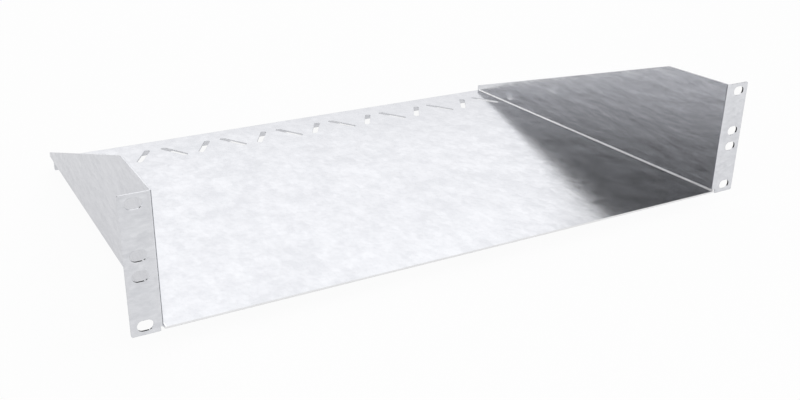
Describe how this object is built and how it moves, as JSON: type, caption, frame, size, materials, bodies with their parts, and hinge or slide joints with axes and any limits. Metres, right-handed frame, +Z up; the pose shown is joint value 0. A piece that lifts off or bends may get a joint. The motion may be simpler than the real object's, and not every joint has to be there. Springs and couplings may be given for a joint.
{
  "type": "rack shelf",
  "caption": "Cantilever rack shelf folded from one galvanised sheet: flat base with leaning tie slots, sloped side walls, slotted front ears and a turned-down back lip.",
  "frame": {"origin": "middle of the four outer ear slots, in the plane of the ears' backs, which seats on the rack's rails", "axes": "+X to the right seen from the front, +Y from the ears to the back lip, +Z up"},
  "size_m": [0.4826, 0.324, 0.0983],
  "materials": {
    "galvanised_steel": "hot-dip galvanised, fine cloudy spangle, satin"
  },
  "bodies": {
    "root": {"rack_shelf": "galvanised_steel"}
  },
  "joints": []
}
